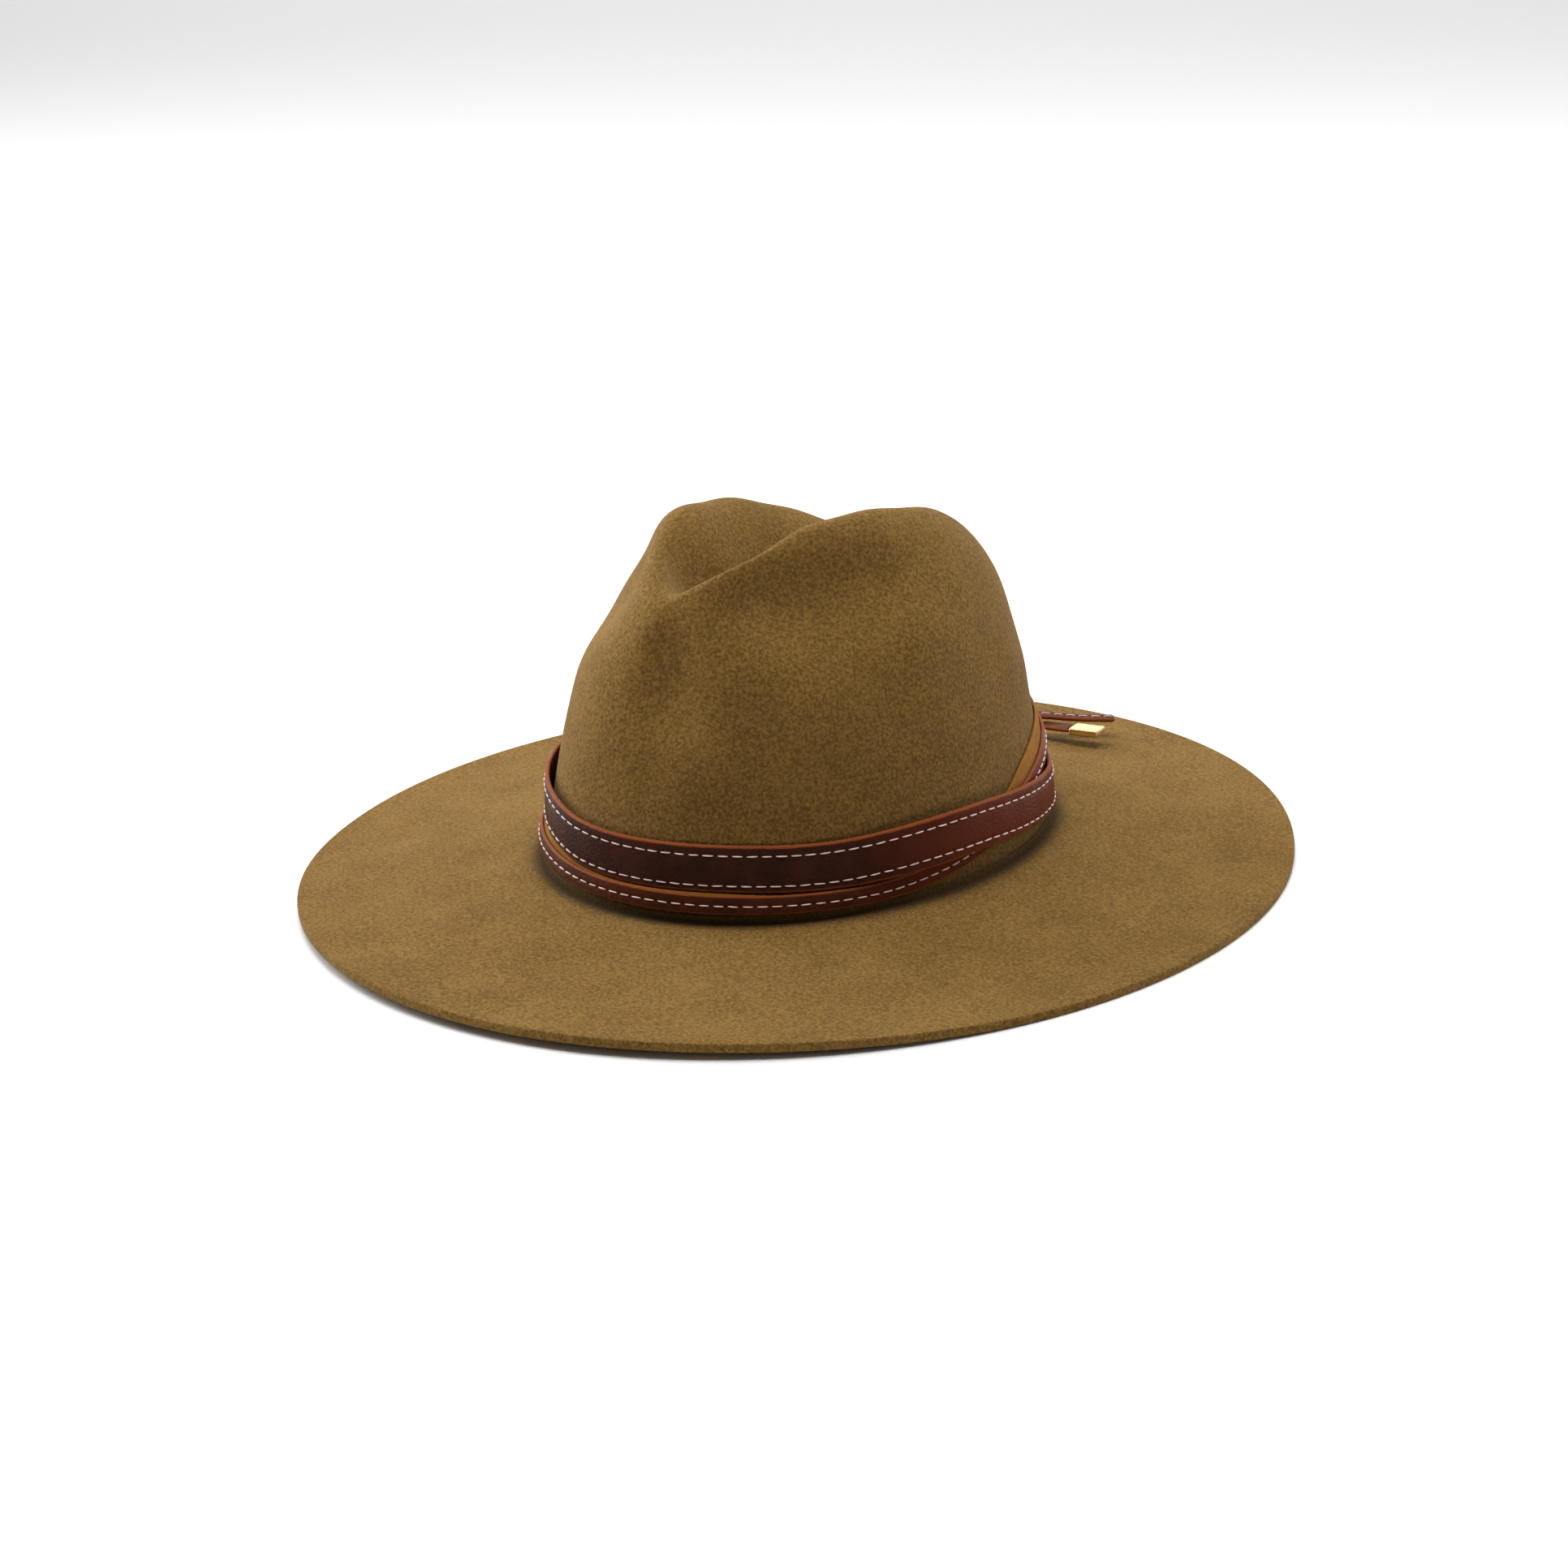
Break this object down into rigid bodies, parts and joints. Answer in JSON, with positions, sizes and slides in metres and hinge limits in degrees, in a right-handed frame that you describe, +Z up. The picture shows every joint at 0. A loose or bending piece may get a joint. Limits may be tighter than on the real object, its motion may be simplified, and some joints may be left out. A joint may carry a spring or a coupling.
{
  "type": "wide-brim felt hat",
  "caption": "Wide-brim felt hat: creased crown with pinched front, flat cut-edge brim, wrapped with stitched leather straps that cross and end in loose tails at the back.",
  "frame": {"origin": "Under the middle of the head on the surface the hat rests on: centre of the bounding box, bottom face.", "axes": "+Z up, the front of the hat faces -Y, the wearer's left is +X. Longest extent runs front to back along Y."},
  "size_m": [0.3562, 0.3922, 0.1427],
  "materials": {
    "felt": "matt fur felt, short nap, tan brown",
    "dark_leather": "satin, very dark brown, burnished edges",
    "brown_leather": "satin, reddish brown",
    "ochre_suede": "matt suede, mustard",
    "keeper_leather": "satin, dark brown",
    "tail_leather": "satin, reddish brown",
    "gold_metal": "polished, gold coloured",
    "thread": "waxed sewing thread, off-white with a pink tint"
  },
  "bodies": {
    "root": {"felt_body": "felt", "upper_strap": "dark_leather", "lower_strap": "brown_leather", "ochre_strap": "ochre_suede", "back_keeper": "keeper_leather", "stitched_tail": "tail_leather", "tipped_tail": "tail_leather", "gold_tip": "gold_metal"}
  },
  "joints": []
}
